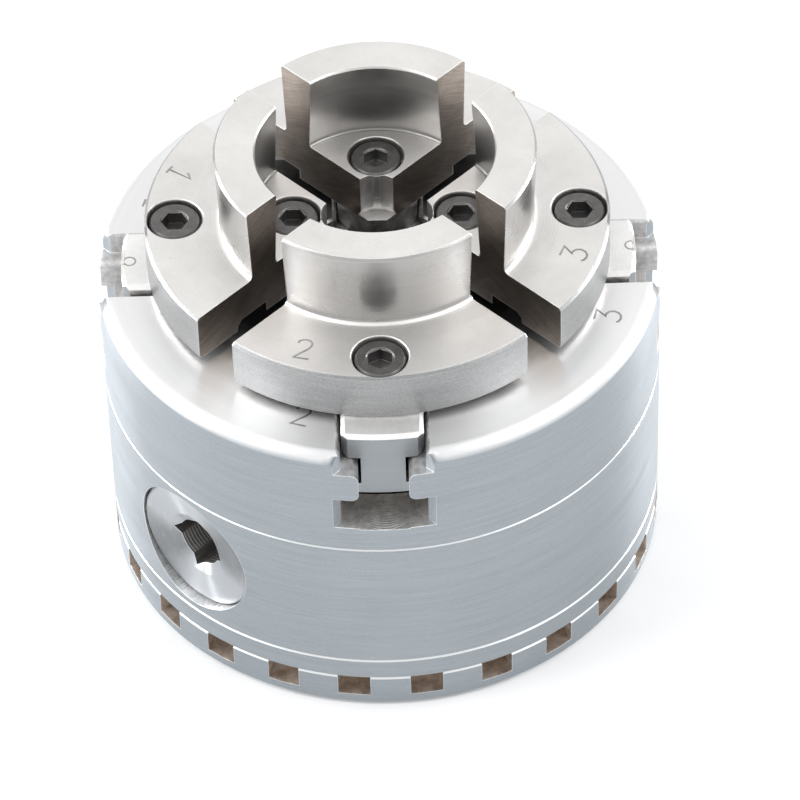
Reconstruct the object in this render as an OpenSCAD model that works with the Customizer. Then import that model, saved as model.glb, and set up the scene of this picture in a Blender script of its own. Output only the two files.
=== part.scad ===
// Four-jaw self-centring scroll chuck for a wood lathe.
// The back face lies on z = 0, the spindle axis is +Z and the jaws point up.
// A key turns the bevel pinion, the pinion turns the scroll, and the scroll's spiral
// moves four jaw slides along their T-slots together. All sizes are in millimetres.

/* [Body] */
// Outside diameter of the body, ring and plate
body_d = 96; // [94:0.5:100]
// Height from the back face to the jaw face of the body
body_h = 60.1; // [60:0.1:62]
// Height of the front shell that carries the T-slots
front_shell_h = 21.6; // [21.1:0.1:22.5]
// Radius of the rounded front rim
rim_r = 2.2; // [1:0.1:3]
// Thickness of the body's wall round the scroll
wall_t = 8.3; // [8:0.1:9]
// Diameter of the clear bore through the middle
through_bore_d = 16; // [10:0.5:17]

/* [Index ring and back plate] */
// Height of the index ring
index_ring_h = 6.5; // [6:0.1:7]
// Thickness of the back plate on top of it
back_plate_t = 4.3; // [4:0.1:4.5]
// Number of index notches
index_count = 24; // [12:4:36]
// Width of one index notch
notch_w = 5.6; // [4:0.1:6]
// Radial depth of one index notch
notch_depth = 5; // [3:0.5:6]
// Floor height of the notches
notch_floor = 2.2; // [1.5:0.1:3]

/* [Spindle insert] */
// Bore of the spindle thread, at its crests
spindle_bore_d = 22.3; // [18:0.1:23]
// Diameter of the plain register at the mouth
register_d = 25.8; // [24:0.1:27]
// Length of the insert behind its flange
insert_body_h = 17.5; // [15:0.5:18]
// Diameter of the insert's flange
insert_flange_d = 47; // [46:0.5:48]

/* [T-slots] */
// Width of the slot above the lips
slot_top_w = 14.2; // [14:0.1:16]
// Gap between the lips
slot_gap_w = 8.4; // [8:0.1:9]
// Width of the slot below the lips
slot_foot_w = 14.6; // [14.4:0.1:16]
// Depth of the lips' upper face below the jaw face
lip_depth = 3.9; // [3.5:0.1:4.3]
// Thickness of the lips
lip_t = 5.8; // [5.4:0.1:6]
// Height of the slot under the lips
slot_foot_h = 6.7; // [6.5:0.1:6.9]
// Radius on the lips' noses
lip_nose_r = 1.3; // [0.6:0.1:2]
// Chamfer along the slot's top edges
slot_chamfer = 0.7; // [0.2:0.1:1]
// Width of the flare where the slot meets the outside
mouth_flare = 1.5; // [0.5:0.1:1.8]

/* [Jaw slides] */
// Width of the slide's head
slide_head_w = 13.7; // [12.6:0.1:13.8]
// Width of the slide's neck
slide_neck_w = 7.4; // [6.8:0.1:7.8]
// Height of the head above the lips
slide_head_h = 5; // [4.6:0.1:5.4]
// Distance from the chuck axis to the slide's outer end, at rest
slide_outer = 43.8; // [43:0.1:45]
// Distance from the chuck axis to the slide's inner end, at rest
slide_inner = 8; // [7.6:0.1:8.6]
// Radius of the rounded lower corners of the slide's head
head_corner_r = 1.2; // [0.3:0.1:2]

/* [Top jaws] */
// How far the jaws stand open at rest, measured from their true circle
jaw_open = 2.6; // [0.5:0.1:3.5]
// Radius of the flange about the jaw's own circle
flange_r = 36.8; // [36:0.1:38]
// Height of the flange
flange_h = 9.2; // [8.8:0.1:9.6]
// Outer radius of the gripping ring at its top
ring_outer_r = 24.5; // [23.5:0.1:25]
// Inner radius of the gripping ring at its top
ring_inner_r = 17.5; // [16.5:0.1:18]
// Height of the gripping ring above the flange
ring_h = 15; // [10:0.5:20]
// Gap that the saw leaves between two jaws, on their true circle
jaw_gap = 4.5; // [4.2:0.1:5]
// Radius of the small bore between the four tips
tip_bore_r = 4.4; // [3.5:0.1:5]

/* [Scroll] */
// Pitch of the spiral: one turn moves the jaws this far
scroll_pitch = 5; // [4.8:0.1:5.2]
// Width of the spiral groove
groove_w = 2.8; // [2.6:0.1:2.9]
// Depth of the spiral groove
groove_depth = 3.5; // [3:0.1:3.7]
// Thickness of a slide tooth at its middle
tooth_t = 2.4; // [2.2:0.1:2.45]
// Radius of the first tooth of jaw 1, at rest
first_tooth = 19.2; // [19:0.1:19.6]
// Teeth under each slide
teeth_per_slide = 4; // [2:1:4]
// How far each jaw can close from rest
travel_in = 5; // [3:0.5:5]
// How far each jaw can open from rest
travel_out = 8; // [4:0.5:8]

/* [Bevel drive] */
// Teeth on the back of the scroll
crown_teeth = 42; // [42:6:48]
// Teeth on the pinion
pinion_teeth = 12; // [12:1:12]
// Height of the pinion's axis
pinion_z = 24.8; // [24.5:0.1:25]
// Direction of the pinion, counted from the right-hand jaw
pinion_az = 225; // [222:1:228]
// Gap left between the flanks, on each side
backlash = 0.16; // [0.1:0.01:0.25]

/* [Pinion] */
// Diameter of the pinion's head
pinion_head_d = 24.6; // [24.2:0.1:24.8]
// Gap between the head and its hole, on each side
pinion_gap = 0.1; // [0.05:0.01:0.15]
// Width across the flats of the key socket
socket_w = 8; // [7:0.5:9]
// Depth of the key socket
socket_depth = 12; // [8:0.5:14]
// Depth of the dished face
dish_depth = 0.4; // [0.2:0.1:1]
// Depth of the countersink at the socket's mouth
socket_sink = 1.1; // [0.5:0.1:1.5]

/* [Fasteners] */
// Nominal diameter of the jaw screws
jaw_screw_d = 5; // [4:0.5:5]
// Distance from the chuck axis to the inner jaw screw, at rest
inner_screw_u = 14.2; // [14:0.1:14.6]
// Distance from the chuck axis to the outer jaw screw, at rest
outer_screw_u = 34.2; // [33.5:0.1:35]
// Screws that hold the front shell to the housing
body_screw_count = 4; // [4:4:4]
// Screws that hold the ring and plate to the housing
back_screw_count = 6; // [6:6:6]
// Length of the screws that hold the ring and plate
back_screw_l = 22; // [20:0.5:24]
// Length of the screws that hold the front shell
body_screw_l = 34.5; // [33:0.5:35]

/* [Hidden] */
$fn = 96;
eps = 0.01;
body_r = body_d / 2;
// Clear gaps: between sliding faces, and between a screw and its hole
slide_gap = 0.1;
screw_gap = 0.05;

// Levels, from the back face up
plate_z = index_ring_h + 0.03;
housing_z = plate_z + back_plate_t + 0.03;
face_z = body_h;
split_z = face_z - front_shell_h;
lip_top_z = face_z - lip_depth;
lip_bottom_z = lip_top_z - lip_t;
slot_floor_z = lip_bottom_z - slot_foot_h;
roof_z = lip_bottom_z - 2.9;
crest_z = roof_z - slide_gap;
groove_floor_z = crest_z - groove_depth;
seat_z = pinion_z + 8.5;

// Slide levels
slide_top_z = lip_top_z + slide_gap + slide_head_h;
head_bottom_z = lip_top_z + slide_gap;
foot_top_z = lip_bottom_z - slide_gap;
foot_bottom_z = crest_z + 0.8;
tooth_bottom_z = groove_floor_z + 0.2;
slide_foot_w = slot_foot_w - 0.4;
foot_chamfer = 0.35;
head_chamfer = 0.65;
end_chamfer = 0.9;

// Jaw levels
jaw_bottom_z = slide_top_z + 0.02;
flange_z = jaw_bottom_z + flange_h;
ring_z = flange_z + ring_h;
// The two sawn faces of a jaw meet at this distance from the chuck axis
wedge_u = jaw_open + jaw_gap / sqrt(2);
key_u0 = 19.1;
key_u1 = 22.9;
key_h = 1.8;

// Scroll
cavity_r = body_r - wall_t;
hub_r = through_bore_d / 2 + 3;
scroll_bore_r = hub_r + slide_gap;
scroll_r = cavity_r - 0.3;
jaw_azimuth = 180;
spiral_step = 7.5;
evolute_r = scroll_pitch / (2 * PI);
spiral_start_r = first_tooth - travel_in - 0.6;
spiral_end_r = scroll_r + groove_w;

// Insert: its body, its screws and the index ring's bore all follow its flange
insert_r = insert_flange_d / 2 - 7.5;
ring_bore_r = insert_flange_d / 2 + 0.5;
insert_screw_circle = insert_flange_d / 2 - 3.7;
insert_flange_z = 0.5;
insert_screw_d = 4;
insert_screw_az = 60;
flange_flat = 1.5;

// Bevel drive: every flank points at the apex, where the two axes cross. The crown is as
// large as the cavity allows, and no larger than lets the pinion's teeth pass its head's hole.
head_r = pinion_head_d / 2;
crown_face_w = 9;
tip_ratio = pinion_teeth / crown_teeth * (1 + 1.9 / pinion_teeth);
crown_outer_r = min(cavity_r - 2.2, (head_r - 0.05) / tip_ratio + 0.5);
crown_inner_r = crown_outer_r - crown_face_w;
crown_pitch_r = crown_outer_r - crown_face_w / 2;
pinion_pitch_r = crown_pitch_r * pinion_teeth / crown_teeth;
gear_module = 2 * pinion_pitch_r / pinion_teeth;
crown_addendum = 0.7 * gear_module;
pinion_addendum = 0.95 * gear_module;
crown_dedendum = pinion_addendum + 0.3;
pinion_dedendum = crown_addendum + 0.35;
pressure_angle = 20;
root_slope = (pinion_pitch_r + crown_dedendum) / crown_pitch_r;
well_z = pinion_z + crown_inner_r * (pinion_pitch_r - crown_addendum) / crown_pitch_r - 0.5;
well_r = crown_inner_r - 1.7;

// Pinion stations along its own axis, from the chuck axis
pinion_hole_r = head_r + pinion_gap;
pinion_face = sqrt(body_r * body_r - pinion_hole_r * pinion_hole_r);
pinion_head_start = crown_outer_r + 0.9;
groove_start = body_r - 6.6;
groove_end = body_r - 4;
pinion_groove_r = head_r - 1.6;
pinion_teeth_start = crown_inner_r - 0.5;
pinion_teeth_end = crown_outer_r - 0.5;
pinion_pocket_start = pinion_teeth_start - 0.8;
spigot_r = 4.5;
spigot_end = insert_r + 3.8;
dish_r = 0.775 * socket_w;
pilot_r = 0.555 * socket_w;
socket_turn = 41;

// Screws: socket heads by the usual proportions of a cap screw
jaw_head_r = 0.85 * jaw_screw_d;
jaw_head_z = flange_z - 0.35;
jaw_seat_z = jaw_head_z - jaw_screw_d;
jaw_screw_tip_z = foot_bottom_z + 1.1;
body_screw_circle = (body_r + cavity_r) / 2 - 0.55;
body_screw_d = 4;
body_screw_az = 20;
body_screw_seat_z = housing_z + 1.1 * body_screw_d;
body_screw_tip_z = body_screw_seat_z + body_screw_l;
back_screw_circle = body_r - 12;
back_screw_d = 5;
back_screw_az = 15;
back_screw_tip_z = back_screw_l;
pinion_screw_r = (groove_start + groove_end) / 2;

// Colours
steel = [0.75, 0.76, 0.77];
jaw_steel = [0.78, 0.76, 0.73];
dark_steel = [0.42, 0.40, 0.38];
black_oxide = [0.12, 0.12, 0.13];

// Points of a circular arc from angle a0 to a1
function arc(c, r, a0, a1, n = 6) =
    [for (i = [0 : n]) let (a = a0 + (a1 - a0) * i / n) c + r * [cos(a), sin(a)]];

// A list of points with its first coordinate turned round, in reverse order
function mirrored(pts) = [for (i = [len(pts) - 1 : -1 : 0]) [-pts[i][0], pts[i][1]]];

// Shape helpers

// A solid of revolution from its half section
module turned(section) {
    rotate_extrude($fn = 144)
        polygon(section);
}

// A bar along +X from its cross section in the YZ plane
module bar_along_x(section, from_x, to_x) {
    translate([from_x, 0, 0])
        rotate([90, 0, 90])
            linear_extrude(height = to_x - from_x)
                polygon(section);
}

// A straight hole or pin along Z
module post(r, from_z, to_z) {
    translate([0, 0, from_z])
        cylinder(r = r, h = to_z - from_z, $fn = 48);
}

// Copies of a shape at equal angles round the chuck axis
module around(count, first_az = 0) {
    for (i = [0 : count - 1])
        rotate([0, 0, first_az + i * 360 / count])
            children();
}

// Puts a shape drawn along +X into the place of jaw n
module at_jaw(n) {
    rotate([0, 0, jaw_azimuth + (n - 1) * 90])
        children();
}

// Puts a shape drawn along +X, with the pinion's axis on X, into the pinion's place
module at_pinion() {
    rotate([0, 0, pinion_az])
        translate([0, 0, pinion_z])
            children();
}

// The quarter of space in front of two upright planes that meet at distance u
module quarter(u, from_z, to_z) {
    translate([u, 0, from_z])
        rotate([0, 0, -45])
            cube([body_d, body_d, to_z - from_z]);
}

// Socket cap screw, head up, with its tip at tip_z
module cap_screw(d, head_r, seat_z, top_z, tip_z) {
    difference() {
        union() {
            post(d / 2 - screw_gap, tip_z, seat_z + eps);
            translate([0, 0, seat_z])
                cylinder(r = head_r, h = top_z - seat_z - 0.3, $fn = 48);
            translate([0, 0, top_z - 0.3])
                cylinder(r1 = head_r, r2 = head_r - 0.3, h = 0.3, $fn = 48);
        }
        translate([0, 0, top_z - 0.5 * d])
            cylinder(r = 0.8 * d / sqrt(3), h = d, $fn = 6);
        translate([0, 0, top_z - 0.2])
            cylinder(r1 = 0.45 * d, r2 = 0.45 * d + 0.21, h = 0.21, $fn = 48);
    }
}

// Countersunk socket screw seen from behind, with its head flush at z = top
module countersunk_screw(d, top, tip_z) {
    difference() {
        union() {
            post(d / 2 - screw_gap, top + 0.4, tip_z);
            translate([0, 0, top])
                cylinder(r1 = d - screw_gap, r2 = d / 2 - screw_gap, h = d / 2, $fn = 48);
        }
        translate([0, 0, top - eps])
            cylinder(r = 0.6 * d / sqrt(3), h = 0.5 * d, $fn = 6);
    }
}

// Hole for a countersunk screw
module countersunk_hole(d, top, end_z) {
    post(d / 2, top - eps, end_z);
    translate([0, 0, top - eps])
        cylinder(r1 = d + eps, r2 = d / 2, h = d / 2 + eps, $fn = 48);
}

// T-slots

// Section of the T-slot, from the deeper milled strip up through the open top
function slot_half() = concat(
    [
        [slot_gap_w / 2, slot_floor_z - 0.25],
        [slot_gap_w / 2, slot_floor_z],
        [slot_foot_w / 2, slot_floor_z],
        [slot_foot_w / 2, lip_bottom_z]
    ],
    arc([slot_gap_w / 2 + lip_nose_r, lip_bottom_z + lip_nose_r], lip_nose_r, 270, 180),
    arc([slot_gap_w / 2 + lip_nose_r, lip_top_z - lip_nose_r], lip_nose_r, 180, 90),
    [
        [slot_top_w / 2, lip_top_z],
        [slot_top_w / 2, face_z - slot_chamfer],
        [slot_top_w / 2 + slot_chamfer, face_z],
        [slot_top_w / 2 + slot_chamfer, face_z + 1]
    ]
);

// The flared mouth that deburring leaves where the slot's walls meet the outside
module slot_mouth(wall_w, from_z, to_z) {
    start_r = sqrt(body_r * body_r - wall_w * wall_w / 4) - mouth_flare;
    translate([0, 0, from_z])
        linear_extrude(height = to_z - from_z)
            for (side = [-1, 1])
                polygon([
                    [start_r - 1, 0],
                    [start_r, side * wall_w / 2],
                    [start_r + 2 * mouth_flare, side * (wall_w / 2 + 2 * mouth_flare)],
                    [start_r + 2 * mouth_flare, 0]
                ]);
}

module front_body() {
    color(steel)
    difference() {
        turned(concat(
            [
                [cavity_r, split_z],
                [body_r - 0.2, split_z],
                [body_r, split_z + 0.2]
            ],
            arc([body_r - rim_r, face_z - rim_r], rim_r, 0, 90, 10),
            [
                [hub_r + 1.9, face_z],
                [hub_r + 1.5, face_z - 0.4],
                [hub_r + 1.5, roof_z],
                [cavity_r, roof_z]
            ]
        ));
        for (az = [0, 90])
            rotate([0, 0, az])
                bar_along_x(concat(slot_half(), mirrored(slot_half())), -body_r - 2, body_r + 2);
        around(4) {
            slot_mouth(slot_foot_w, slot_floor_z, lip_bottom_z);
            slot_mouth(slot_top_w, lip_top_z, face_z + 1);
        }
        around(body_screw_count, body_screw_az)
            translate([body_screw_circle, 0, 0])
                post(body_screw_d / 2, split_z - 1, body_screw_tip_z + 1);
    }
}

// Rear housing: seat, hub and outer wall round the scroll, with the pinion's pocket
module rear_housing() {
    color(steel)
    difference() {
        turned([
            [through_bore_d / 2, housing_z + insert_body_h - 4],
            [insert_r, housing_z + insert_body_h - 4],
            [insert_r, housing_z],
            [body_r - 0.25, housing_z],
            [body_r, housing_z + 0.25],
            [body_r, split_z - 0.23],
            [body_r - 0.2, split_z - 0.03],
            [cavity_r, split_z - 0.03],
            [cavity_r, well_z],
            [well_r, well_z],
            [well_r, seat_z],
            [hub_r, seat_z],
            [hub_r, crest_z - 0.5],
            [hub_r - 0.4, crest_z - 0.1],
            [through_bore_d / 2, crest_z - 0.1]
        ]);
        at_pinion()
            rotate([0, 90, 0]) {
                post(pinion_hole_r, pinion_pocket_start, body_r + 1);
                post(spigot_r + 0.05, spigot_end - 0.8, pinion_pocket_start + 1);
            }
        around(body_screw_count, body_screw_az)
            translate([body_screw_circle, 0, 0]) {
                post(body_screw_d / 2 + 0.15, housing_z - 1, split_z + 1);
                post(0.875 * body_screw_d + 0.15, housing_z - 1, body_screw_seat_z);
            }
        around(back_screw_count, back_screw_az)
            translate([back_screw_circle, 0, 0])
                post(back_screw_d / 2, housing_z - 1, back_screw_tip_z + 1);
        around(2, insert_screw_az)
            translate([insert_screw_circle, 0, 0])
                post(insert_screw_d / 2, housing_z - 1, housing_z + 6);
        rotate([0, 0, pinion_az])
            translate([pinion_screw_r, 0, 0])
                post(1.35, housing_z - 1, pinion_z);
    }
}

module back_plate() {
    color(steel)
    difference() {
        turned([
            [insert_r, plate_z],
            [body_r - 0.2, plate_z],
            [body_r, plate_z + 0.2],
            [body_r, housing_z - 0.28],
            [body_r - 0.25, housing_z - 0.03],
            [insert_r, housing_z - 0.03]
        ]);
        around(back_screw_count, back_screw_az)
            translate([back_screw_circle, 0, 0])
                post(back_screw_d / 2 + 0.15, plate_z - 1, housing_z + 1);
        around(2, insert_screw_az)
            translate([insert_screw_circle, 0, 0])
                post(insert_screw_d / 2, plate_z - 1, housing_z + 1);
        rotate([0, 0, pinion_az])
            translate([pinion_screw_r, 0, 0])
                post(2.5, plate_z - 1, housing_z + 1);
    }
}

// Index ring: notches open towards the back plate, so the plate closes their tops
module index_ring() {
    color(steel)
    difference() {
        turned([
            [ring_bore_r, 0],
            [body_r - 0.6, 0],
            [body_r, 0.6],
            [body_r, index_ring_h - 0.3],
            [body_r - 0.3, index_ring_h],
            [ring_bore_r, index_ring_h]
        ]);
        around(index_count, 180 / index_count)
            translate([body_r - notch_depth, -notch_w / 2, notch_floor])
                cube([notch_depth + 2, notch_w, index_ring_h]);
        around(back_screw_count, back_screw_az)
            translate([back_screw_circle, 0, 0])
                countersunk_hole(back_screw_d, 0, index_ring_h + 1);
    }
}

// Threaded insert: its bore is the thread's crest diameter, behind a plain register
module spindle_insert() {
    color(dark_steel)
    difference() {
        turned([
            [spindle_bore_d / 2, insert_flange_z + 4.5],
            [register_d / 2, insert_flange_z + 4.5],
            [register_d / 2, insert_flange_z + 0.5],
            [register_d / 2 + 0.5, insert_flange_z],
            [insert_flange_d / 2 - 0.5, insert_flange_z],
            [insert_flange_d / 2, insert_flange_z + 0.5],
            [insert_flange_d / 2, index_ring_h],
            [insert_r - 0.05, index_ring_h],
            [insert_r - 0.05, housing_z + insert_body_h - 5.1],
            [insert_r - 0.75, housing_z + insert_body_h - 4.4],
            [spindle_bore_d / 2, housing_z + insert_body_h - 4.4]
        ]);
        around(2, insert_screw_az)
            translate([insert_screw_circle, 0, 0])
                countersunk_hole(insert_screw_d, insert_flange_z, index_ring_h + 1);
        around(2, insert_screw_az + 90)
            translate([insert_flange_d / 2 - flange_flat, -insert_flange_d / 2, -eps])
                cube([insert_flange_d, insert_flange_d, index_ring_h + 1]);
    }
}

module insert_screws() {
    color(black_oxide)
    around(2, insert_screw_az)
        translate([insert_screw_circle, 0, 0])
            countersunk_screw(insert_screw_d, insert_flange_z, housing_z + 5);
}

module body_screws() {
    color(black_oxide)
    around(body_screw_count, body_screw_az)
        translate([body_screw_circle, 0, 0])
            mirror([0, 0, 1])
                cap_screw(body_screw_d, 0.875 * body_screw_d, -body_screw_seat_z,
                    -body_screw_seat_z + body_screw_d, -body_screw_tip_z);
}

module back_screws() {
    color(black_oxide)
    around(back_screw_count, back_screw_az)
        translate([back_screw_circle, 0, 0])
            countersunk_screw(back_screw_d, 0, back_screw_tip_z);
}

// Scroll

// Radius of the groove's middle line at an angle, tied to the first tooth of jaw 1
function spiral_r(az) = first_tooth + scroll_pitch * (az - jaw_azimuth) / 360;
function spiral_az(r) = jaw_azimuth + (r - first_tooth) / scroll_pitch * 360;
function polar(r, az) = r * [cos(az), sin(az)];

// The groove: one wall out along the spiral and the other wall back
module spiral_groove() {
    az0 = spiral_az(spiral_start_r);
    steps = ceil((spiral_az(spiral_end_r) - az0) / spiral_step);
    // The outer wall's corners stand out so that its chords keep the full width
    chord = 1 / cos(spiral_step / 2);
    polygon(concat(
        [for (i = [0 : steps]) let (az = az0 + i * spiral_step)
            polar((spiral_r(az) + groove_w / 2) * chord, az)],
        [for (i = [steps : -1 : 0]) let (az = az0 + i * spiral_step)
            polar(spiral_r(az) - groove_w / 2, az)]
    ));
}

// One crown tooth, a wedge that narrows towards the apex. It points down from the root.
module crown_tooth() {
    half_pitch = gear_module * PI / 4 - backlash / 2;
    grow = tan(pressure_angle);
    tip = pinion_pitch_r - crown_addendum;
    root = pinion_pitch_r + crown_dedendum + 0.4;
    tip_half = half_pitch - crown_addendum * grow;
    root_half = half_pitch + (crown_dedendum + 0.4) * grow;
    k0 = crown_inner_r / crown_pitch_r;
    k1 = crown_outer_r / crown_pitch_r;
    polyhedron(
        points = [
            [crown_inner_r, -tip_half * k0, tip * k0],
            [crown_inner_r, tip_half * k0, tip * k0],
            [crown_inner_r, root_half * k0, root * k0],
            [crown_inner_r, -root_half * k0, root * k0],
            [crown_outer_r, -tip_half * k1, tip * k1],
            [crown_outer_r, tip_half * k1, tip * k1],
            [crown_outer_r, root_half * k1, root * k1],
            [crown_outer_r, -root_half * k1, root * k1]
        ],
        faces = [
            [0, 1, 2, 3],
            [7, 6, 5, 4],
            [4, 5, 1, 0],
            [6, 7, 3, 2],
            [5, 6, 2, 1],
            [7, 4, 0, 3]
        ]
    );
}

// Scroll ring: spiral on its front, crown teeth on its back, running on the hub
module scroll_ring() {
    color(dark_steel)
    union() {
        difference() {
            turned([
                [scroll_bore_r, seat_z + slide_gap],
                [well_r - 0.3, seat_z + slide_gap],
                [well_r - 0.3, pinion_z + root_slope * (well_r - 0.3)],
                [crown_outer_r, pinion_z + root_slope * crown_outer_r],
                [scroll_r, pinion_z + root_slope * crown_outer_r],
                [scroll_r, crest_z],
                [scroll_bore_r, crest_z]
            ]);
            translate([0, 0, groove_floor_z])
                linear_extrude(height = groove_depth + 1)
                    spiral_groove();
        }
        translate([0, 0, pinion_z])
            around(crown_teeth, pinion_az + 180 / crown_teeth)
                crown_tooth();
    }
}

// Pinion

// Involute flank of the pinion: half of the tooth's angle at radius r
function involute(a) = tan(a) * 180 / PI - a;
function base_r() = pinion_pitch_r * cos(pressure_angle);
function half_tooth(r) = 90 / pinion_teeth - backlash / 2 / pinion_pitch_r * 180 / PI
    + involute(pressure_angle) - involute(acos(min(1, base_r() / r)));

// Section of the pinion's teeth at the middle of the crown, tooth 0 along +X
function pinion_section() =
    let (
        root = pinion_pitch_r - pinion_dedendum,
        tip = pinion_pitch_r + pinion_addendum,
        base = max(base_r(), root + 0.01),
        flank = [for (i = [0 : 4]) base + (tip - base) * i / 4]
    )
    [for (t = [0 : pinion_teeth - 1]) let (a = t * 360 / pinion_teeth)
        each concat(
            [polar(root, a - half_tooth(base))],
            [for (i = [0 : 4]) polar(flank[i], a - half_tooth(flank[i]))],
            [for (i = [4 : -1 : 0]) polar(flank[i], a + half_tooth(flank[i]))],
            [polar(root, a + half_tooth(base))]
        )
    ];

// The toothed length tapers towards the apex on the chuck axis
module pinion_gear() {
    k0 = pinion_teeth_start / crown_pitch_r;
    translate([0, 0, pinion_teeth_start])
        linear_extrude(height = pinion_teeth_end - pinion_teeth_start,
                scale = pinion_teeth_end / pinion_teeth_start)
            polygon([for (p = pinion_section()) k0 * p]);
}

// Pinion: drawn along Z and then laid along the radius, with one tooth straight up
module pinion() {
    neck_r = crown_outer_r / crown_pitch_r * (pinion_pitch_r - pinion_dedendum) - 0.6;
    color(steel)
    at_pinion()
        rotate([0, 90, 0])
            rotate([0, 0, 180])
                difference() {
                    union() {
                        pinion_gear();
                        turned(concat(
                            [
                                [0, spigot_end],
                                [spigot_r - 0.5, spigot_end],
                                [spigot_r, spigot_end + 0.5],
                                [spigot_r, pinion_teeth_start + 0.2],
                                [neck_r * 0.7, pinion_teeth_start + 0.2],
                                [neck_r * 0.7, pinion_teeth_end - 0.2],
                                [neck_r, pinion_teeth_end - 0.2],
                                [neck_r, pinion_head_start],
                                [head_r - 0.3, pinion_head_start],
                                [head_r, pinion_head_start + 0.3],
                                [head_r, groove_start],
                                [pinion_groove_r, groove_start],
                                [pinion_groove_r, groove_end],
                                [head_r, groove_end]
                            ],
                            arc([head_r - 1, pinion_face - 1], 1, 0, 90),
                            [
                                [head_r - 1.5, pinion_face],
                                [dish_r, pinion_face - dish_depth],
                                [socket_w / 2, pinion_face - dish_depth - socket_sink],
                                [0, pinion_face - dish_depth - socket_sink]
                            ]
                        ));
                    }
                    rotate([0, 0, socket_turn])
                        translate([-socket_w / 2, -socket_w / 2, pinion_face - socket_depth])
                            cube([socket_w, socket_w, socket_depth + 1]);
                    post(pilot_r, pinion_face - socket_depth - 1, pinion_face + 1);
                }
}

// Dog-point screw in the back plate: its point runs in the groove round the pinion's head
module pinion_screw() {
    color(black_oxide)
    rotate([0, 0, pinion_az])
        translate([pinion_screw_r, 0, 0])
            difference() {
                union() {
                    post(2.45, plate_z + 0.05, housing_z - 0.1);
                    post(1.05, housing_z - 0.2, pinion_z - pinion_groove_r - 0.35);
                }
                translate([0, 0, plate_z])
                    cylinder(r = 2.5 / sqrt(3), h = 2.2, $fn = 6);
            }
}

// Jaw slides

function tooth_u(n, k) = first_tooth + (n - 1) * scroll_pitch / 4 + k * scroll_pitch;

// Half section of the slide: foot below the lips, neck between them, head above
function slide_half() = concat(
    [
        [slide_foot_w / 2 - foot_chamfer, foot_bottom_z],
        [slide_foot_w / 2, foot_bottom_z + foot_chamfer],
        [slide_foot_w / 2, foot_top_z - foot_chamfer],
        [slide_foot_w / 2 - foot_chamfer, foot_top_z],
        [slide_neck_w / 2, foot_top_z],
        [slide_neck_w / 2, head_bottom_z]
    ],
    arc([slide_head_w / 2 - head_corner_r, head_bottom_z + head_corner_r], head_corner_r, -90, 0),
    [
        [slide_head_w / 2, slide_top_z - head_chamfer],
        [slide_head_w / 2 - head_chamfer, slide_top_z]
    ]
);

// One crescent tooth. Its outer face has the tightest radius of the spiral that it meets
// and its inner face the widest, so that it runs freely at both ends of the travel. The
// centre of curvature of such a spiral stands pitch / 2 pi to one side of the jaw's line.
module slide_tooth(u) {
    reach = slide_foot_w / 2;
    outer_face_r = u - travel_in + groove_w / 2;
    inner_face_r = min(u + travel_out, scroll_r) - groove_w / 2;
    from_z = tooth_bottom_z;
    to_z = foot_bottom_z + 0.2;
    intersection() {
        translate([u - reach, -slide_foot_w / 2, from_z])
            cube([2 * reach, slide_foot_w, to_z - from_z]);
        difference() {
            translate([u + tooth_t / 2 - sqrt(pow(outer_face_r, 2) - pow(evolute_r, 2)), evolute_r, 0])
                post(outer_face_r, from_z, to_z);
            translate([u - tooth_t / 2 - sqrt(pow(inner_face_r, 2) - pow(evolute_r, 2)), evolute_r, 0])
                post(inner_face_r, from_z - 1, to_z + 1);
        }
    }
}

module jaw_slide(n) {
    nose_half_w = 1.65;
    corner_u = sqrt(slide_outer * slide_outer - pow(slide_head_w / 2, 2)) - end_chamfer;
    color(jaw_steel)
    at_jaw(n)
        difference() {
            union() {
                intersection() {
                    bar_along_x(concat(slide_half(), mirrored(slide_half())),
                        slide_inner, slide_outer + 1);
                    turned([
                        [0, foot_bottom_z - 1],
                        [slide_outer, foot_bottom_z - 1],
                        [slide_outer, slide_top_z - head_chamfer],
                        [slide_outer - head_chamfer, slide_top_z],
                        [0, slide_top_z]
                    ]);
                    quarter(slide_inner - nose_half_w, foot_bottom_z - 2, slide_top_z + 2);
                }
                for (k = [0 : teeth_per_slide - 1])
                    slide_tooth(tooth_u(n, k));
                translate([key_u0, -slide_head_w / 2 + 0.5, slide_top_z - eps])
                    cube([key_u1 - key_u0, slide_head_w - 1, key_h]);
            }
            for (side = [-1, 1])
                translate([corner_u, side * slide_head_w / 2, head_bottom_z - eps])
                    rotate([0, 0, 45 * side - 90])
                        translate([-2 * end_chamfer, 0, 0])
                            cube([4 * end_chamfer, 4 * end_chamfer, slide_head_h + 1]);
            for (u = [inner_screw_u, outer_screw_u])
                translate([u, 0, 0])
                    post(jaw_screw_d / 2, jaw_screw_tip_z - 0.6, slide_top_z + 1);
        }
}

module jaw_slide_1() { jaw_slide(1); }
module jaw_slide_2() { jaw_slide(2); }
module jaw_slide_3() { jaw_slide(3); }
module jaw_slide_4() { jaw_slide(4); }

// Top jaws

// Half section of flange and gripping ring about the jaw's own circle. The ring leans
// out a little at the top, on both faces, to grip a dovetail.
function jaw_section() = concat(
    [
        [0, jaw_bottom_z],
        [flange_r - 0.5, jaw_bottom_z],
        [flange_r, jaw_bottom_z + 0.5],
        [flange_r, flange_z - 0.5],
        [flange_r - 0.5, flange_z]
    ],
    arc([ring_outer_r + 0.4, flange_z + 1], 1, 270, 180, 5),
    [
        [ring_outer_r, ring_z - 0.4],
        [ring_outer_r - 0.4, ring_z],
        [ring_inner_r + 0.3, ring_z],
        [ring_inner_r, ring_z - 0.3]
    ],
    arc([ring_inner_r + 0.4, flange_z + 0.5], 0.5, 0, -90, 4),
    [[0, flange_z]]
);

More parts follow.
